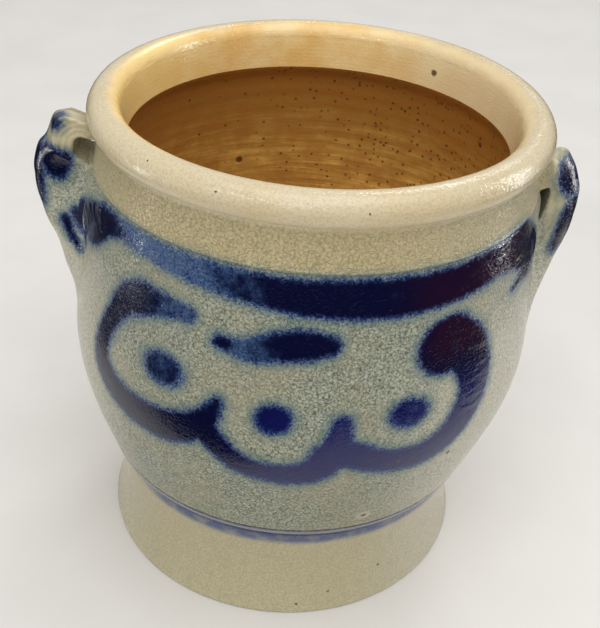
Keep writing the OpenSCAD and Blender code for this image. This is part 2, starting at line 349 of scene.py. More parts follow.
def deepest(shapes):
    """Joins painted shapes: at each point, the depth and the load of the shape that it lies deepest in."""
    depth, load = shapes[0]
    for other, other_load in shapes[1:]:
        load = np.where(other > depth, other_load, load)
        depth = np.maximum(depth, other)
    return depth, load


def smoothstep(low, high, x):
    """0 below low, 1 above high, and smooth between."""
    t = np.clip((x - low) / (high - low), 0, 1)
    return t * t * (3 - 2 * t)


def stretch(x, start, full, fade, end):
    """1 from full to fade, 0 before start and after end, and smooth between."""
    return smoothstep(start, full, x) * (1 - smoothstep(fade, end, x))


def cell_corners(shares):
    """Offsets of a grid cell's eight corners, and their weights at a point with these shares of its sides."""
    for offset in itertools.product((0, 1), repeat=3):
        weight = 1
        for share, o in zip(shares, offset):
            weight = weight * (share if o else 1 - share)
        yield offset, weight


def lattice_noise(seed, x, y, z, pitch):
    """Smooth noise from -1 to 1 with blobs about a pitch wide, in mm."""
    size = 32
    table = np.random.default_rng(seed).uniform(-1, 1, (size, size, size))
    whole, shares = [], []
    for v in (x, y, z):
        v = np.asarray(v, float) / pitch
        floor = np.floor(v)
        whole.append(floor.astype(int))
        shares.append(smoothstep(0, 1, v - floor))
    total = 0
    for offset, weight in cell_corners(shares):
        total = total + weight * table[tuple((w + o) % size for w, o in zip(whole, offset))]
    return total


def wall_marks(azimuth, z, paint, load):
    """Attributes that the glaze on the outer wall reads, for azimuths in degrees and heights."""
    reach = stretch(azimuth, *SLIP_REACH)
    rise = z - FOOT_LINE_Z
    return {
        "paint": paint,
        "load": load,
        "wash": (0.25 + 0.75 * reach) * stretch(rise, *WASH),
        "navy": (0.6 + 0.4 * reach) * stretch(rise, *NAVY_STRIPE),
        "lilac": stretch(rise, *LILAC_STRIPE),
        # Painted shade in the fine groove above the foot line and in the groove under the rim
        "crease": dent(z, FOOT_FINE_GROOVE[0], 0.6, 1) + dent(z, NECK_GROOVE[0], 0.35, 0.8),
        "smooth": np.maximum(smoothstep(HEIGHT - 13.4, HEIGHT - 12, z), dent(rise, 1.4, 2.2, 1)),
        "neck": smoothstep(UPPER_LINE_Z - 2, UPPER_LINE_Z + 2, z),
        "foot": 1 - smoothstep(-6, 0, rise)}


def body_marks(a, r, z, zone):
    """Attributes of the body's points, from their azimuths in radians, radii, heights and zones."""
    base, outside, rim, throat, inside = (zone == i for i in range(5))
    degrees = np.degrees(np.where(a > math.pi, a - 2 * math.pi, a))
    paint, load = np.full(r.shape, UNPAINTED), np.zeros(r.shape)
    near = outside & (z > PAINTED[0]) & (z < PAINTED[1])
    paint[near], load[near] = paint_on_wall(degrees[near], z[near], r[near])
    marks = {key: np.where(outside, values, 0) for key, values in wall_marks(degrees, z, paint, load).items()}
    roll = np.degrees(np.arctan2((z - (HEIGHT - RIM_H/2)) / RIM_H, (r - (RIM_R - RIM_W/2)) / RIM_W))
    change = OCHRE_ANGLE + 9 * waves(11, a, 0 * z, 9, 60)
    change = change + 8 * lattice_noise(12, r * np.sin(a), r * np.cos(a), z, 5.0)
    ochre = np.where(rim, smoothstep(change - OCHRE_HALF, change + OCHRE_HALF, roll), throat)
    marks.update(paint=paint, smooth=np.where(outside, marks["smooth"], rim | throat), ochre=ochre,
                 inside=inside, throat=throat, rim=rim, base=base, bare=0 * r)
    return marks


def hand_marks(a, r, z, zone):
    """Radii and heights of the body's points with the unevenness that the hand leaves."""
    _, outside, rim, throat, inside = (zone == i for i in range(5))
    upright = inside & (z > FLOOR_T + FLOOR_CORNER)
    climb = 2 * math.pi * (z / THROWING_PITCH + a / (2 * math.pi))
    r = r + upright * THROWING_DEPTH * np.sin(climb + waves(3, a, z, 5, 90))
    r = r + outside * OUTSIDE_WAVE * waves(5, a, z, 9, 60) * smoothstep(1, 8, z)
    r = r + (rim | throat) * MOUTH_WAVE * waves(7, a, z, 5, 60)
    r = r + rim * ROLL_DIMPLE * lattice_noise(13, r * np.sin(a), r * np.cos(a), z, 2.2)
    return r, z + rim * RIM_LIFT * waves(8, a, z * 0, 5, 60)


def make_body():
    """The thrown body: wall, rolled rim, inside and base."""
    profile = body_profile()
    middle_base, middle_floor = profile[0], profile[-1]
    profile = profile[1:-1]
    rows = len(profile)
    a = np.tile(np.linspace(0, 2 * math.pi, RING_POINTS, endpoint=False), (rows, 1))
    r, z, zone = (np.repeat(profile[:, i:i + 1], RING_POINTS, axis=1) for i in range(3))
    marks = body_marks(a, r, z, zone)
    r, z = hand_marks(a, r, z, zone)
    points = np.stack([r * np.sin(a), -r * np.cos(a), z], -1).reshape(-1, 3)
    points = np.concatenate([points, [[0, 0, middle_base[1]], [0, 0, middle_floor[1]]]])
    faces = ring_faces(rows, RING_POINTS)
    last = (rows - 1) * RING_POINTS
    for j in range(RING_POINTS):
        k = (j + 1) % RING_POINTS
        faces += [(r.size, k, j), (r.size + 1, last + j, last + k)]
    # The middles of the base and of the floor are marked as the rings beside them
    for key, values in marks.items():
        values = np.ravel(values).astype(float)
        marks[key] = np.append(values, [values[0], values[-1]])
    return add_mesh("glazed_body", lean(points), faces, marks)


# Handles. Places on a handle are (out, forward, height): mm from the crock's axis in the handle's own upright
# plane, mm towards the front from that plane, and mm above the table

# Forward turn of a handle's plane from the X axis, in degrees
HANDLE_TURN = 5
# Forward places of the strap's near face, its middle and its tail's middle, and both half widths
NEAR_EDGE = 8.5
STRAP_HALF = 8.0
STRAP_FORWARD = NEAR_EDGE - STRAP_HALF
TAIL_HALF = 15
TAIL_FORWARD = 6
# Power with which the outer side falls from the crest to its edges
SWELL = 1.8
# Ribs of the pull on the near face, and the bead along its outer edge
RIB_PITCH = 1.9
BEAD_RISE = 0.3
# How far the finger gap moves inwards per mm backwards, and how far the strap's back falls above a height
GAP_SLANT = 0.18
BACK_FALL = 0.42
BACK_FALL_Z = 163
# Fillet on to the wall, under and over the heights of "fillet"
FILLET_LOW = 3.0
FILLET_HIGH = 0.8
# The oval of wall that a handle's mesh covers, as (along the wall, height, half width, half height), and how
# deep in the wall it hides where no clay is pressed on, and its back
COVER = (10, 140, 36, 42)
HIDDEN = 0.35
BACK_DEPTH = 3
# Grid on which a handle's field is sampled
GRID_STEP = 0.45
GRID_LOW = (62, -27, 96)
GRID_HIGH = (103, 45, 184)

# Side outlines of each strap from the neck down, as (out, height): its crest, the ridge where its outer side
# meets its flat near face, and its inner side. Heights between which it widens down into its tail, its fillet
# narrows upwards, and bare clay starts on its near face. Depth of its ribs. Lobes of clay pressed on the
# wall, as (forward, height, half width, upper and lower half height, rise). Dabs of cobalt, each a list of
# (out, forward, height, half width)
LEFT_HANDLE = {
    "side": -1,
    "crest": [(72, 172), (80.4, 173), (84.1, 174.2), (86.8, 175), (89.1, 175.1), (91.6, 173.6), (94.3, 167),
              (97.6, 162.4), (99.4, 155.5), (99.1, 149.6), (98.1, 143.7), (95.1, 134.8), (91.8, 128.2),
              (88.7, 116.6), (86.1, 107.8), (84, 98)],
    "ridge": [(72, 173), (80.4, 174), (85, 175.6), (88.4, 175.8), (90.1, 173.6), (90.7, 169.5), (90.8, 164.6),
              (90.2, 161.6), (87.6, 160), (83.4, 158), (79.1, 154.5), (76, 150), (75, 140), (75, 120),
              (75, 98)],
    "inner": [(70, 166.2), (78.6, 167.4), (82.2, 168.2), (84.2, 166.8), (84.7, 163.8), (84.4, 161.6),
              (81.6, 159.7), (78.3, 157.6), (74, 155), (74, 148), (74.5, 140), (75, 131), (76, 120),
              (76, 98)],
    "tail": (120, 158),
    "fillet": (160, 172),
    "near_face": (158, 160),
    "ribs": 0.14,
    "lobes": [(10, 156.6, 9, 1.2, 16, 2.4), (22, 156.4, 9, 1.0, 12, 1.5), (33, 156, 8, 1.0, 8, 0.8),
              (-10, 152, 8, 5, 8, 1.6), (12, 128, 9, 12, 14, 0.7)],
    "dabs": [[(90.4, 5.6, 175.8, 3), (90.8, 7, 173.8, 2.8)],
             [(93.4, 6, 160.6, 4.2), (91.6, 8, 158, 5.6), (90.6, 9, 153.6, 2.8)],
             [(87.8, 9, 159.8, 3.2), (90.2, 9, 156.6, 4.4)],
             [(95.6, 0, 166, 2.6), (98.2, 1, 158, 4.8), (98.6, 1.5, 150, 5), (97, 2, 142.6, 3.4)],
             [(87.6, 10.6, 137.6, 2.3), (85.6, 12.4, 132.8, 1.7), (82.4, 15.2, 129.2, 1.2)],
             [(84.2, 11.2, 141.2, 1.8), (82.6, 14.4, 137.4, 1.7), (80.2, 17.6, 134.4, 1.6)]]}
RIGHT_HANDLE = {
    "side": 1,
    "crest": [(72, 171.4), (80.4, 172.2), (83.4, 172.9), (85.6, 172.4), (87.6, 170), (89.8, 166.5),
              (92.2, 161), (93.1, 157.2), (93.3, 149.2), (92.6, 140.1), (89.8, 129.1), (87.9, 121), (86, 112),
              (84, 98)],
    "ridge": [(70, 172), (78, 172.2), (81, 170.6), (82.4, 166), (84.7, 161), (86.3, 156.6), (86.5, 151),
              (85.2, 144), (84.1, 139.7), (82.4, 136.4), (79, 132), (76, 126), (75, 116), (75, 98)],
    "inner": [(70, 159.4), (78.6, 159.8), (80.8, 160.8), (81.9, 159.2), (81.8, 155), (80.9, 149),
              (79.6, 144.6), (77, 141), (74, 137), (75, 131), (75, 120), (76, 98)],
    "tail": (104, 140),
    "fillet": (142, 151),
    "near_face": (137, 142),
    "ribs": 0.05,
    "lobes": [(12, 149, 7, 5, 9, 0.9), (19, 144, 6, 6, 7, 1.1), (-10, 150, 8, 8, 8, 1.2),
              (12, 128, 8, 9, 12, 0.6), (7, 155, 4, 6, 6, 1.25)],
    "dabs": [[(86, 4, 167.4, 3.6), (86.8, 4, 164.4, 5), (87.8, 4, 160.4, 4)],
             [(89.8, 3, 154.2, 3.6), (90.4, 3.5, 146.4, 5.6), (89.2, 4, 138, 3.8)]]}


def smooth_min(a, b, k):
    """The lower of two fields, with a fillet about k mm wide."""
    h = np.maximum(k - np.abs(a - b), 0) / k
    return np.minimum(a, b) - h * h * k / 4


def smooth_max(a, b, k):
    """The higher of two fields, with an edge rounded about k mm wide."""
    return -smooth_min(-a, -b, k)


def line_distance(x, z, stations):
    """Signed distance in a handle's plane to a curve, positive on its left."""
    path = smooth_path(stations, 160)
    best = np.full(x.shape, 1e9)
    signed = np.zeros(x.shape)
    for (x0, z0), (x1, z1) in zip(path[:-1], path[1:]):
        dx, dz = x1 - x0, z1 - z0
        t = np.clip(((x - x0) * dx + (z - z0) * dz) / max(dx * dx + dz * dz, 1e-9), 0, 1)
        ex, ez = x - x0 - t * dx, z - z0 - t * dz
        away = np.hypot(ex, ez)
        closer = away < best - 1e-9
        signed = np.where(closer, np.where(dx * ez - dz * ex > 0, away, -away), signed)
        best = np.minimum(best, away)
    return signed


def wall_field(rho, z):
    """Distance outside the wall, its neck and the rolled rim, in mm."""
    wall = rho - line_radius(z[0, 0])
    roll = np.hypot(rho - (RIM_R - RIM_W/2), (z - (HEIGHT - RIM_H/2)) * RIM_W / RIM_H) - RIM_W/2
    return smooth_min(wall, roll, 0.6)


def slanted(flat, s, rate):
    """A field of the handle's plane, carried back through the strap and pushed inwards as it goes."""
    shift = rate * (NEAR_EDGE - s[0, :, 0]) / GRID_STEP
    at = np.clip(np.arange(flat.shape[0])[None, :] + shift[:, None], 0, flat.shape[0] - 1.001)
    low = at.astype(int)
    part = (at - low)[:, :, None]
    return (flat[low] * (1 - part) + flat[low + 1] * part).transpose(1, 0, 2)


def strap_field(handle, x, s, z):
    """Field whose zero surface is the strap alone."""
    flat_x, flat_z = x[:, 0], z[:, 0]
    crest, ridge = (line_distance(flat_x, flat_z, handle[key])[:, None, :] for key in ("crest", "ridge"))
    below = slanted(line_distance(flat_x, flat_z, handle["inner"]), s, GAP_SLANT)
    tail = 1 - smoothstep(*handle["tail"], z)
    half = STRAP_HALF + (TAIL_HALF - STRAP_HALF) * tail
    across = np.abs(s - STRAP_FORWARD - (TAIL_FORWARD - STRAP_FORWARD) * tail)
    share = np.clip(across / half, 0, 1) ** SWELL
    above = (1 - share) * crest + share * ridge
    above = above + BACK_FALL * np.maximum(STRAP_FORWARD - s, 0) * smoothstep(BACK_FALL_Z, BACK_FALL_Z + 6, z)
    # The near face carries the ribs of the pull, and its outer edge a fine bead
    ribs = handle["ribs"] * np.cos(2 * math.pi * below / RIB_PITCH) * (1 - tail)
    bead = BEAD_RISE * np.exp(-((above + 0.8) / 0.7) ** 2) * (1 - tail)
    return smooth_max(smooth_max(above, -below, 1.6), across - half + ribs - bead, 0.7)


def handle_field(handle, x, s, z):
    """Field whose zero surface is the handle with the pressed clay and fillets that join it to the wall."""
    wall = wall_field(np.hypot(x, s), z)
    arc = np.arctan2(s, x) * NECK_R
    rise = 0
    for at, height, half_width, up, down, lift in handle["lobes"]:
        tall = np.where(z > height, up, down)
        rise = rise + lift * np.exp(-((arc - at) / half_width) ** 2 - ((z - height) / tall) ** 2)
    pressed = wall + HIDDEN - rise * (1 + 0.25 * lattice_noise(4, x, s * 1.4, z * 0.6, 2.6))
    fillet = FILLET_HIGH + (FILLET_LOW - FILLET_HIGH) * (1 - smoothstep(*handle["fillet"], z))
    field = smooth_min(strap_field(handle, x, s, z), pressed, fillet)
    field = field + 0.10 * lattice_noise(5, x, s, z, 4.0) + 0.05 * lattice_noise(6, x, s, z, 1.9)
    at, height, half_width, half_height = COVER
    cover = (np.hypot((arc - at) / half_width, (z - height) / half_height) - 1) * half_width
    return np.maximum(np.maximum(field, cover), -wall - BACK_DEPTH)


def surface_net(field, low, step):
    """Points and outward faces of the zero surface of a field sampled on a grid."""
    inside = field < 0
    cells = np.array(field.shape) - 1
    total = np.zeros((*cells, 3))
    count = np.zeros(cells)
    for axis in range(3):
        b, c = (axis + 1) % 3, (axis + 2) % 3
        for ob, oc in itertools.product((0, 1), repeat=2):
            start = [slice(0, -1)] * 3
            start[b], start[c] = slice(ob, ob + cells[b]), slice(oc, oc + cells[c])
            end = list(start)
            end[axis] = slice(1, None)
            f0, f1 = field[tuple(start)], field[tuple(end)]
            cross = (f0 < 0) != (f1 < 0)
            total[..., axis] += np.where(cross, f0 / np.where(cross, f0 - f1, 1), 0)
            total[..., b] += cross * ob
            total[..., c] += cross * oc
            count += cross
    active = count > 0
    index = np.full(cells, -1)
    index[active] = np.arange(active.sum())
    points = np.array(low) + step * (np.argwhere(active) + total[active] / count[active][:, None])
    faces = []
    for axis in range(3):
        b, c = (axis + 1) % 3, (axis + 2) % 3
        cut = [slice(1, -1)] * 3
        cut[axis] = slice(0, -1)
        ahead = list(cut)
        ahead[axis] = slice(1, None)
        f0, f1 = inside[tuple(cut)], inside[tuple(ahead)]
        at = np.argwhere(f0 != f1)
        leaving = f0[tuple(at.T)]
        at[:, b] += 1
        at[:, c] += 1
        eb, ec = np.eye(3, dtype=int)[b], np.eye(3, dtype=int)[c]
        quad = np.stack([index[tuple((at - eb - ec).T)], index[tuple((at - ec).T)], index[tuple(at.T)],
                         index[tuple((at - eb).T)]], 1)
        quad[~leaving] = quad[~leaving][:, ::-1]
        faces.append(quad)
    return points, np.concatenate(faces)


def sample(grid, low, step, points):
    """Value of a grid at points, linear between its nodes."""
    at = np.clip((points - np.array(low)) / step, 0, np.array(grid.shape) - 1.001).T
    whole = at.astype(int)
    total = 0
    for offset, weight in cell_corners(at - whole):
        total = total + weight * grid[tuple(w + o for w, o in zip(whole, offset))]
    return total


def settle(points, faces, field, low, step, rounds=3):
    """Evens out a surface's points and moves them back on to the zero surface."""
    ends = np.concatenate([faces[:, [i, (i + 1) % 4]] for i in range(4)])
    ends = np.concatenate([ends, ends[:, ::-1]])
    number = np.bincount(ends[:, 0], minlength=len(points))[:, None]
    slopes = np.gradient(field, step)
    for _ in range(rounds):
        mean = np.stack([np.bincount(ends[:, 0], points[ends[:, 1], i], len(points)) for i in range(3)], 1)
        points = points + 0.6 * (mean / number - points)
        value = sample(field, low, step, points)[:, None]
        slope = np.stack([sample(g, low, step, points) for g in slopes], 1)
        points = points - value * slope / np.maximum((slope ** 2).sum(1, keepdims=True), 0.05)
    return points


def dab_depth(places, stations):
    """How far inside a brush dab on a handle each place lies, in mm and negative outside."""
    path = smooth_path(stations, 12)
    best = np.full(len(places), -99.0)
    for p, q in zip(path[:-1], path[1:]):
        along = (q - p)[:3]
        t = np.clip((places - p[:3]) @ along / max(along @ along, 1e-6), 0, 1)
        away = np.linalg.norm(places - p[:3] - t[:, None] * along, axis=1)
        best = np.maximum(best, p[3] + (q[3] - p[3]) * t - away)
    return best


def make_handle(name, handle):
    """A pulled strap handle, pressed on to the neck and wiped out on the belly."""
    axes = [np.arange(a, b, GRID_STEP) for a, b in zip(GRID_LOW, GRID_HIGH)]
    x, s, z = np.meshgrid(*axes, indexing="ij")
    field = handle_field(handle, x, s, z)
    local, faces = surface_net(field, GRID_LOW, GRID_STEP)
    local = settle(local, faces, field, GRID_LOW, GRID_STEP)
    side = handle["side"]
    plane = side * math.radians(90 - HANDLE_TURN)
    out = np.array([math.sin(plane), -math.cos(plane)])
    forward = -side * np.array([math.cos(plane), math.sin(plane)])
    flat = local[:, :1] * out + local[:, 1:2] * forward
    points = np.concatenate([flat, local[:, 2:]], 1)
    if side > 0:
        faces = faces[:, ::-1]
    # Paint: the wall's own strokes where the clay lies on the wall, and dabs on the strap
    azimuth = np.degrees(np.arctan2(points[:, 0], -points[:, 1]))
    rho, height = np.hypot(points[:, 0], points[:, 1]), points[:, 2]
    proud = rho - line_radius(height)
    depth, load = paint_on_wall(azimuth, height, rho)
    shapes = [(depth - 6 * smoothstep(2.5, 5, proud), load)]
    for stations in handle["dabs"]:
        shapes.append((dab_depth(local, stations), np.ones(len(local))))
    marks = wall_marks(azimuth, height, *deepest(shapes))
    # No painted groove shade where the handle's clay stands proud of the wall
    marks["crease"] = marks["crease"] * (1 - smoothstep(0, 0.4, proud))
    on_wall = 1 - smoothstep(0.5, 2, proud)
    marks["smooth"] = np.maximum(marks["smooth"] * on_wall, 0.8 * smoothstep(4, 8, proud))
    near_face = smoothstep(NEAR_EDGE - 1.4, NEAR_EDGE - 0.6, local[:, 1])
    near_face = near_face * smoothstep(*handle["near_face"], height)
    marks["bare"] = smoothstep(2, 5, proud) * np.maximum(near_face, smoothstep(165, 171, height))
    marks.update((key, np.zeros(len(points))) for key in ("inside", "throat", "rim", "base", "ochre"))
    return add_mesh(name, lean(points), faces.tolist(), marks)


# Materials

def srgb(*colour):
    """Linear colour of an 8-bit one."""
    shares = [c / 255 for c in colour]
    return tuple(c / 12.92 if c <= 0.04045 else ((c + 0.055) / 1.055) ** 2.4 for c in shares) + (1,)


class Shader:
    """A material whose nodes are made by short calls; every argument is a value or another node's output."""

    def __init__(self, name):
        self.material = bpy.data.materials.new(name)
        self.material.use_nodes = True
        self.tree = self.material.node_tree
        self.tree.nodes.clear()
        self.where = self.node("TexCoord").outputs["Object"]

    def node(self, kind, inputs=(), **settings):
        made = self.tree.nodes.new("ShaderNode" + kind)
        for key, value in settings.items():
            setattr(made, key, value)
        for key, value in dict(inputs).items():
            self.put(made.inputs[key], value)
        return made

    def put(self, socket, value):
        if isinstance(value, bpy.types.NodeSocket):
            self.tree.links.new(value, socket)
        else:
            socket.default_value = value

    def math(self, operation, a, b=0.0):
        return self.node("Math", {0: a, 1: b}, operation=operation).outputs[0]

    def plus(self, a, b):
        return self.math("ADD", a, b)

    def minus(self, a, b):
        return self.math("SUBTRACT", a, b)

    def times(self, a, b):
        return self.math("MULTIPLY", a, b)

    def most(self, a, b):
        return self.math("MAXIMUM", a, b)

    def ramp(self, value, low, high, to_low=0.0, to_high=1.0):
        inputs = {"Value": value, "From Min": low, "From Max": high, "To Min": to_low, "To Max": to_high}
        return self.node("MapRange", inputs, interpolation_type="SMOOTHSTEP").outputs[0]

    def mix(self, factor, a, b):
        """Colour between a and b by the factor."""
        return self.node("Mix", {0: factor, 6: a, 7: b}, data_type="RGBA").outputs[2]

    def blend(self, factor, a, b):
        """Number between a and b by the factor."""
        return self.node("Mix", {0: factor, 2: a, 3: b}, data_type="FLOAT").outputs[0]

    def squeezed(self, *scale):
        """Place on the object in metres, squeezed by a scale along each axis."""
        return self.node("Mapping", {"Vector": self.where, "Scale": scale}).outputs[0]

    def noise(self, size, detail=2.0, roughness=0.5, place=None, output="Fac"):
        """Noise with blobs about a size wide, in mm."""
        inputs = {"Vector": place or self.where, "Scale": 1 / (size * MM), "Detail": detail,
                  "Roughness": roughness}
        return self.node("TexNoise", inputs).outputs[output]

    def cells(self, size, place=None, **settings):
        """Outputs of a node of scattered cells about a size apart, in mm."""
        inputs = {"Vector": place or self.where, "Scale": 1 / (size * MM)}
        return self.node("TexVoronoi", inputs, **settings).outputs

    def vector(self, operation, a, b, output="Vector"):
        return self.node("VectorMath", {0: a, 1: b}, operation=operation).outputs[output]

    def shifted(self, size, amount):
        """Place pushed about by noise of a size and an amount in mm."""
        push = self.vector("SUBTRACT", self.noise(size, 1, output="Color"), (0.5, 0.5, 0.5))
        push = self.vector("MULTIPLY", push, (amount * MM,) * 3)
        return self.vector("ADD", self.where, push)

    def bump(self, height, distance, normal=None):
        made = self.node("Bump", {"Height": height, "Distance": distance * MM})
        if normal is not None:
            self.put(made.inputs["Normal"], normal)
        return made.outputs[0]

    def finish(self, colour, roughness, normal, **fixed):
        inputs = {"Base Color": colour, "Roughness": roughness, "Normal": normal, **fixed}
        surface = self.node("BsdfPrincipled", inputs).outputs[0]
        self.node("OutputMaterial", {"Surface": surface})
        return self.material


# Colours of the glaze
PEEL_LIGHT = srgb(174, 177, 158)
PEEL_DARK = srgb(72, 82, 66)
PEEL_WARM = srgb(166, 154, 122)
PEEL_HAZE = srgb(92, 118, 114)
NECK_TONE = srgb(204, 184, 134)
CREAM = srgb(212, 197, 163)
CREAM_TAN = srgb(206, 180, 134)
OCHRE = srgb(238, 210, 150)
OCHRE_DEEP = srgb(228, 184, 106)
OCHRE_PALE = srgb(228, 210, 170)
OCHRE_LEFT = srgb(255, 222, 146)
FOOT_TONE = srgb(196, 184, 148)
COBALT_DEEP = srgb(3, 6, 42)
COBALT_FLOOR_SHEEN = srgb(12, 17, 78)
COBALT_REFLECTED_RED = srgb(34, 8, 34)
COBALT = srgb(12, 40, 104)
COBALT_THIN = srgb(90, 120, 144)
WASH_TONE = srgb(72, 88, 128)
LILAC_TONE = srgb(128, 132, 152)
NAVY = srgb(16, 24, 62)
INSIDE_SHADED_TOP = srgb(142, 104, 44)
INSIDE_LIT_LOW = srgb(255, 216, 118)
INSIDE_STREAK = srgb(166, 108, 44)
INSIDE_SPECK = srgb(52, 32, 18)
IRON = srgb(76, 46, 24)
GROOVE_SHADE = srgb(38, 40, 52)
BARE_BASE = srgb(170, 148, 118)
CLAY = srgb(196, 184, 148)
MIRRORED_PAPER_TONE = srgb(210, 204, 184)
# Pale tone of the painted reflection of the paper on the sides
HALO = srgb(198, 190, 164)

# Iron spots: azimuth, distance from the axis, height and radius in mm
SPOTS = [(20.6, 78.2, 56.7, 1.3), (39.1, 85.4, 82.7, 1.1), (16.3, 70.6, 8.6, 0.5), (6.4, 71.6, 4, 0.7),
         (33.7, 69.9, 14.8, 0.7), (24.1, 86.1, 88.4, 0.9), (-21.9, 79.2, 181.5, 0.35),
         (10.2, 79.7, 180.3, 0.45), (-40.8, 78.4, 182.8, 0.4), (139.9, 67.8, 174.2, 1.5),
         (-155.5, 76.3, 123.3, 1.9), (118, 72.1, 153.1, 1.2), (40.3, 75.2, 48.5, 0.9),
         (43.5, 76.2, 50.9, 0.7)]
# The pale ring round the first of them, in mm
HALO_RADIUS = 3.4

# Names of the mesh attributes that the glaze reads
MARKS = ("inside", "throat", "rim", "ochre", "base", "foot", "neck", "bare", "smooth", "crease", "wash",
         "navy", "lilac", "paint", "load")
# Sizes of the glaze's texture and heights of its relief, in mm, and its roughness
SIZE = {"grain": 0.8, "turned": 0.9, "rim": 1.0, "pebble": 1.45, "worm": 1.4, "scored": 1.4, "streak": 1.9,
        "ragged": 2.4, "speck": 2.6, "swell": 5, "ripple": 6, "patch": 7, "stain": 9, "warm": 16, "broad": 28}
RISE = {"turned": 0.04, "swell": 0.08, "rim": 0.18, "pebble": 0.25, "scored": 0.3, "ripple": 0.6}
ROUGH = {"pebble": 0.3, "glassy": 0.07, "rim": 0.09, "inside": 0.42, "base": 0.85}


# Parts of the salt glaze. Their shader s has the marks and what else salt_glaze gives it; x, across the
# crock, and z, up it, are in metres

def pebbles(s):
    """Orange peel: pebbles parted by thin crevices, some of them closed, and worms of light glaze. The dark
    of the crevices and the light of the raised worms are partly the glaze's own grain and partly painted
    shade and light of its relief.
    """
    edges = s.cells(SIZE["pebble"], s.shifted(1.1, 1.1), feature="DISTANCE_TO_EDGE")["Distance"]
    closed = s.times(s.minus(s.fine, 0.5), 0.35)
    cell = s.ramp(s.plus(edges, closed), -0.04, 0.2)
    worm = s.math("ABSOLUTE", s.minus(s.noise(SIZE["worm"], 1), 0.5))
    return s.plus(s.times(cell, 0.6), s.ramp(worm, 0.02, 0.11, 0.4, 0))


def limbs(s):
    """Painted reflection of the white paper: how much paler the glaze is drawn towards either side, most of
    all below the shoulder.
    """
    left = s.times(s.ramp(s.x, -0.084, -0.05, 0.7, 0), s.ramp(s.z, 0.125, 0.15, 1, 0.3))
    right = s.times(s.ramp(s.x, 0.02, 0.07, 0, 0.75), s.ramp(s.z, 0.115, 0.145, 1, 0.25))
    return s.most(left, right)


def brushed(s):
    """How far cobalt covers the glaze, thinning out among the pebbles, and where the brush was full."""
    edge = s.plus(s.paint, s.times(s.ragged, 2.2))
    edge = s.minus(edge, s.times(s.minus(s.pebble, 0.5), 0.9))
    full = s.ramp(s.plus(s.load, s.minus(s.patch, 0.5)), 0.3, 0.85)
    return s.ramp(edge, -2, 0.4), s.times(full, s.ramp(edge, -0.9, 1.6))


def unpainted(s):
    """Tone of the outside, with a haze round the paint and the painted reflection of the paper towards the
    sides.
    """
    # Pebbles from the dark to the light tone: the glaze's grain, with painted shade in the crevices and
    # painted light on the raised worms
    tone = s.mix(s.pebble, PEEL_DARK, PEEL_LIGHT)
    tone = s.mix(s.ramp(s.broad, 0.35, 0.7, 0, 0.45), tone, PEEL_WARM)
    for where, beige, share, dark in (s.neck, NECK_TONE, 0.75, 0.35), (s.foot, FOOT_TONE, 0.85, 0.2):
        grained = s.mix(s.ramp(s.pebble, 0, 1, dark, 0), beige, PEEL_DARK)
        tone = s.mix(s.times(where, share), tone, grained)
    tone = s.mix(s.times(s.bare, 0.85), tone, CLAY)
    # Painted reflection: the glaze drawn paler towards the sides, where it mirrors the white paper
    tone = s.mix(s.times(s.limb, s.ramp(s.pebble, 0, 1, 0.6)), tone, MIRRORED_PAPER_TONE)
    haze = s.ramp(s.plus(s.paint, s.times(s.ragged, 3)), -4.5, -0.6, 0, 0.7)
    return s.mix(haze, tone, PEEL_HAZE)


def cobalt(s):
    """Tone of the paint: blue where it is thin, nearly black under a full brush, lighter low on the right as
    a painted reflection of the floor, and purple at the right as a painted reflection of something red.
    """
    thin = s.times(s.pebble, s.ramp(s.load, 0.3, 1, 0.75, 0.35))
    # Painted reflection: lighter cobalt low on the right half, where the glaze mirrors the floor
    lighter = s.times(s.ramp(s.z, 0.105, 0.125, 1, 0), s.ramp(s.x, -0.03, 0))
    # Painted reflection: a purple tint on the right, mirrored from something red at the front right
    purple = s.times(s.ramp(s.x, 0.02, 0.05), s.ramp(s.z, 0.118, 0.132))
    purple = s.times(purple, s.ramp(s.x, 0.068, 0.076, 1, 0))
    purple = s.times(purple, s.ramp(s.broad, 0.3, 0.6, 0.3))
    deep = s.mix(purple, s.mix(lighter, COBALT_DEEP, COBALT_FLOOR_SHEEN), COBALT_REFLECTED_RED)
    return s.mix(s.full, s.mix(thin, COBALT, COBALT_THIN), deep)


def patchy(s, mark, low, high):
    """A mark whose strength varies from low to high in patches."""
    return s.times(mark, s.ramp(s.patch, 0.3, 0.6, low, high))


def painted(s, tone):
    """A tone under the paint and the blue slip that has run into the lower turned lines, with painted shade
    in the fine groove above the foot line and in the groove under the rim.
    """
    tone = s.mix(patchy(s, s.wash, 0.6, 1), tone, WASH_TONE)
    tone = s.mix(s.times(s.lilac, 0.85), tone, LILAC_TONE)
    tone = s.mix(s.covered, tone, cobalt(s))
    # Painted shade: the two fine grooves drawn darker
    tone = s.mix(patchy(s, s.crease, 0.65, 0.95), tone, GROOVE_SHADE)
    return s.mix(patchy(s, s.navy, 0.75, 1), tone, NAVY)


def rimmed(s, tone):
    """A tone with the cream of the rim, which gives way to ochre in the mouth."""
    cream = s.mix(s.ramp(s.broad, 0.45, 0.75, 0, 0.6), CREAM, CREAM_TAN)
    cream = s.mix(s.ramp(s.fine, 0.3, 0.6, 0.18, 0), cream, PEEL_DARK)
    warm_patch = s.plus(s.times(s.turned, 0.12), s.noise(SIZE["warm"], 3))
    warm = s.mix(s.ramp(warm_patch, 0.4, 0.7), OCHRE_DEEP, OCHRE)
    warm = s.mix(s.ramp(s.x, 0.01, 0.06, 0.1, 0.75), warm, OCHRE_PALE)
    warm = s.mix(s.ramp(s.x, -0.065, -0.03, 0.7, 0), warm, OCHRE_LEFT)
    tone = s.mix(s.rim, tone, s.mix(s.ochre, cream, warm))
    return s.mix(s.throat, tone, warm)


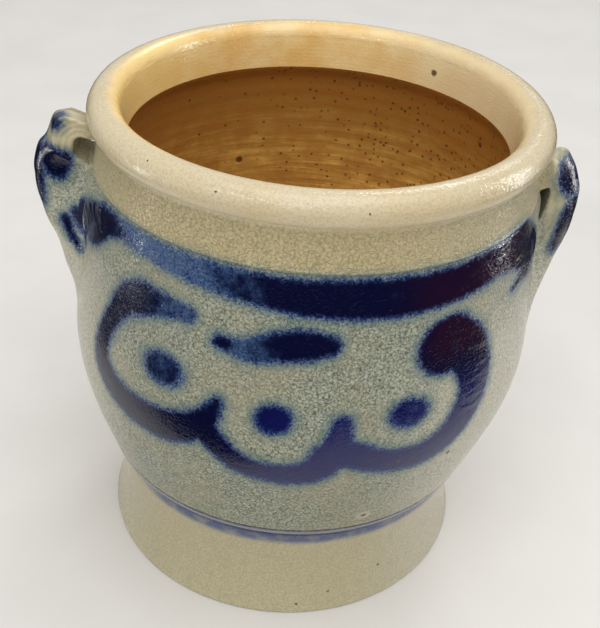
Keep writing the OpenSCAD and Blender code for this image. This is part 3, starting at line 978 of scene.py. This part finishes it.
def brown(s):
    """Tone of the inside: fine turning streaks, painted light and shade that make it lighter lower down and
    darker under the throat, and iron specks.
    """
    # Painted light and shade: darker up under the throat, lighter lower down
    tone = s.mix(s.ramp(s.z, 0.11, 0.164), INSIDE_LIT_LOW, INSIDE_SHADED_TOP)
    streak = s.noise(SIZE["streak"], 3, 0.6, s.squeezed(0.07, 0.07, 1))
    for mark, low, high, share in ((s.noise(SIZE["stain"], 4, 0.65), 0.4, 0.65, 0.45),
                                   (streak, 0.35, 0.7, 0.55), (s.turned, 0.4, 0.65, 0.25)):
        tone = s.mix(s.ramp(mark, low, high, share, 0), tone, INSIDE_STREAK)
    specks = s.cells(SIZE["speck"], s.shifted(1.5, 0.8))
    chance = s.node("SeparateColor", {0: specks["Color"]}).outputs[0]
    crowd = s.ramp(s.plus(s.x, s.times(s.z, 0.5)), 0.03, 0.12, 0.08, 0.7)
    speck = s.times(s.ramp(specks["Distance"], 0.1, 0.34, 1, 0), s.math("LESS_THAN", chance, crowd))
    return s.mix(s.times(speck, 0.8), tone, INSIDE_SPECK)


def spotted(s, tone):
    """A tone with the iron spots, the first of them in its pale ring."""
    uneven = s.shifted(1.2, 0.8)
    for azimuth, away, height, radius in SPOTS:
        turn = math.radians(azimuth)
        at = lean(np.array([away * math.sin(turn), -away * math.cos(turn), height])) * MM
        distance = s.vector("DISTANCE", uneven, at, "Value")
        if (azimuth, away, height, radius) == SPOTS[0]:
            ring = s.ramp(distance, HALO_RADIUS * 0.6 * MM, HALO_RADIUS * MM, 0.75, 0)
            tone = s.mix(ring, tone, HALO)
        tone = s.mix(s.ramp(distance, radius * 0.55 * MM, radius * 1.1 * MM, 0.9, 0), tone, IRON)
    return tone


def gloss(s):
    """Where the glaze is glassy: on the cobalt, where it is smooth, and towards the sides."""
    paint = s.times(s.covered, s.ramp(s.full, 0.1, 0.7, 0.6))
    return s.most(s.most(paint, s.smooth), s.times(s.limb, 0.8))


def roughness(s, glassy):
    """Roughness, low where the glaze is glassy."""
    rough = s.ramp(glassy, 0, 1, ROUGH["pebble"], ROUGH["glassy"])
    for where, key in (s.mouth, "rim"), (s.inside, "inside"), (s.base, "base"):
        rough = s.blend(where, rough, ROUGH[key])
    return rough


def relief(s, glassy):
    """Normal of the glaze's relief. The cobalt has run into ripples beside the right handle's root."""
    flat = s.most(glassy, s.most(s.times(s.foot, 0.4), s.times(s.bare, 0.6)))
    flat = s.most(flat, s.most(s.inside, s.base))
    pebble = s.times(s.pebble, s.minus(1, s.times(flat, 0.82)))
    grain = s.times(s.noise(SIZE["rim"]), s.mouth)
    grain = s.times(grain, s.ramp(s.ochre, 0, 1, 1, 0.3))
    grain = s.times(grain, s.ramp(s.x, 0, 0.04, 0.35))
    turned = s.times(s.turned, s.most(s.inside, s.times(s.throat, 0.3)))
    by_root = s.times(s.ramp(s.x, 0.05, 0.064), s.ramp(s.x, 0.071, 0.077, 1, 0))
    ripple = s.noise(SIZE["ripple"], place=s.squeezed(0.6, 0.6, 1.6))
    ripple = s.times(ripple, s.times(s.covered, by_root))
    scored = s.times(s.noise(SIZE["scored"], place=s.squeezed(0.05, 1, 1)), s.base)
    heights = {"pebble": pebble, "swell": s.noise(SIZE["swell"]), "rim": grain, "turned": turned,
               "ripple": ripple, "scored": scored}
    normal = None
    for key, height in heights.items():
        normal = s.bump(height, RISE[key], normal)
    return normal


def salt_glaze(name):
    """Salt glaze: pebbled grey outside, beige neck, cream rim, ochre mouth, brown inside, and cobalt."""
    s = Shader(name)
    for key in MARKS:
        setattr(s, key, s.node("Attribute", attribute_name=key).outputs["Fac"])
    s.x, _, s.z = s.node("SeparateXYZ", {0: s.where}).outputs
    s.mouth = s.most(s.rim, s.throat)
    s.fine = s.noise(SIZE["grain"], 2, 0.6)
    s.patch = s.noise(SIZE["patch"], 3, 0.6)
    s.broad = s.noise(SIZE["broad"], 3, 0.55)
    s.ragged = s.minus(s.noise(SIZE["ragged"], 2, 0.6), 0.5)
    s.turned = s.noise(SIZE["turned"], 2, 0.6, s.squeezed(0.06, 0.06, 1))
    s.pebble = pebbles(s)
    s.limb = limbs(s)
    s.covered, s.full = brushed(s)
    tone = rimmed(s, painted(s, unpainted(s)))
    tone = s.mix(s.inside, tone, brown(s))
    tone = spotted(s, s.mix(s.base, tone, BARE_BASE))
    glassy = gloss(s)
    return s.finish(tone, roughness(s, glassy), relief(s, glassy), IOR=1.5)


# Scene: the camera's place, its turns in radians, its focal length in pixels and its sensor in mm
CAMERA_AT = (-2.785, -322.574, 311.894)
CAMERA_YAW = 0.008
CAMERA_PITCH = 0.6
CAMERA_ROLL = 0.068
FOCAL_PIXELS = 987.112
PICTURE_LONG_SIDE = 628
SENSOR = 36


def make_camera():
    """Camera at the photograph's place: rolled, pitched down from level, and turned to the right."""
    turn = Matrix.Rotation(math.pi / 2 - CAMERA_PITCH, 4, "X") @ Matrix.Rotation(CAMERA_ROLL, 4, "Z")
    turn = Matrix.Rotation(-CAMERA_YAW, 4, "Z") @ turn
    data = bpy.data.cameras.new("camera")
    data.sensor_width = SENSOR
    data.lens = FOCAL_PIXELS / PICTURE_LONG_SIDE * SENSOR
    data.clip_start = 0.01
    camera = add("camera", data)
    camera.matrix_world = Matrix.Translation(Vector(CAMERA_AT) * MM) @ turn
    bpy.context.scene.camera = camera


def flat_piece(name, corners, height):
    """A flat stage piece with its corners, as (x, y), and its height in mm."""
    mesh = bpy.data.meshes.new(name)
    mesh.from_pydata([(x * MM, y * MM, height * MM) for x, y in corners], [], [tuple(range(len(corners)))])
    piece = add(name, mesh)
    return piece


# Colours of the paper and of the card, and half the floor's width
PAPER_LIGHT = srgb(228, 225, 220)
PAPER_SHADE = srgb(224, 221, 216)
CARD_DARK = srgb(14, 14, 16)
CARD_LIGHT = srgb(26, 26, 28)
FLOOR_HALF = 3000
# The sheet of paper that the glaze mirrors, seen from above, and how far card and sheet lie over the floor
SHEET = [(-250, -90), (-60, -140), (90, -270), (215, -100), (262, -20), (345, 65), (152, 213), (-181, 469),
         (-250, 337)]
CARD_LIFT = 0.3
SHEET_LIFT = 0.6
# Strength of the even white world
WORLD_LIGHT = 0.5


def paper():
    """Matt white paper with a faint mottle."""
    s = Shader("pale_floor")
    tone = s.mix(s.ramp(s.noise(60, 3), 0.3, 0.7), PAPER_LIGHT, PAPER_SHADE)
    return s.finish(tone, 0.7, s.bump(s.noise(1.5), 0.02))


def dark_card():
    """Matt dark card."""
    s = Shader("dark_card")
    tone = s.mix(s.noise(80), CARD_DARK, CARD_LIGHT)
    return s.finish(tone, 0.9, s.bump(s.noise(2), 0.02))


def make_floor():
    """A wide pale floor. Mirrored in the glaze, it is a sheet of white paper on a dark card."""
    wide = [(i * FLOOR_HALF, j * FLOOR_HALF) for i, j in ((-1, -1), (1, -1), (1, 1), (-1, 1))]
    white = paper()
    flat_piece("floor", wide, 0).data.materials.append(white)
    card = flat_piece("mirrored_card", wide, CARD_LIFT)
    card.data.materials.append(dark_card())
    sheet = flat_piece("mirrored_sheet", SHEET, SHEET_LIFT)
    sheet.data.materials.append(white)
    for piece in (card, sheet):
        for kind in ("camera", "diffuse", "shadow", "transmission"):
            setattr(piece, "visible_" + kind, False)


def add_light(name, at, size, power):
    """A soft lamp that looks at the crock's middle: its place, its width and height in mm, and its watts."""
    data = bpy.data.lights.new(name, "AREA")
    data.shape = "RECTANGLE"
    data.energy = power
    data.size, data.size_y = size[0] * MM, size[1] * MM
    lamp = add(name, data)
    place = Vector(at) * MM
    aim = Vector((0, 0, MIDDLE_Z * MM)) - place
    lamp.matrix_world = Matrix.Translation(place) @ aim.to_track_quat("-Z", "Y").to_matrix().to_4x4()
    return lamp


def make_lights():
    """Soft studio light: a large lamp overhead, a strip in front, a lamp behind like a window and an even
    world. Two glints, which give no diffuse light, draw the long highlights on the handles."""
    add_light("overhead", (150, -450, 1650), (1600, 1600), 18)
    add_light("front_strip", (-700, -1500, 1250), (1500, 60), 7)
    add_light("back_lamp", (500, 1400, 1500), (600, 300), 6)
    add_light("right_glint", (400, 30, 205), (40, 390), 0.8).visible_diffuse = False
    add_light("left_glint", (-420, -60, 85), (18, 130), 0.2).visible_diffuse = False
    world = bpy.data.worlds.new("world")
    world.use_nodes = True
    back = world.node_tree.nodes["Background"]
    back.inputs["Color"].default_value = (1, 1, 1, 1)
    back.inputs["Strength"].default_value = WORLD_LIGHT
    bpy.context.scene.world = world


def dress(piece, material, node):
    """Gives a piece its material, attaches it to the root and hides the CAD node that it stands for."""
    piece.data.materials.append(material)
    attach(piece, "root")
    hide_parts(node)


make_camera()
dress(make_body(), salt_glaze("salt_glaze_body"), "crock_body")
handle_material = salt_glaze("salt_glaze_handle")
dress(make_handle("strap_left", LEFT_HANDLE), handle_material, "left_handle")
dress(make_handle("strap_right", RIGHT_HANDLE), handle_material, "right_handle")
make_floor()
make_lights()
bpy.context.scene.view_settings.view_transform = "Standard"
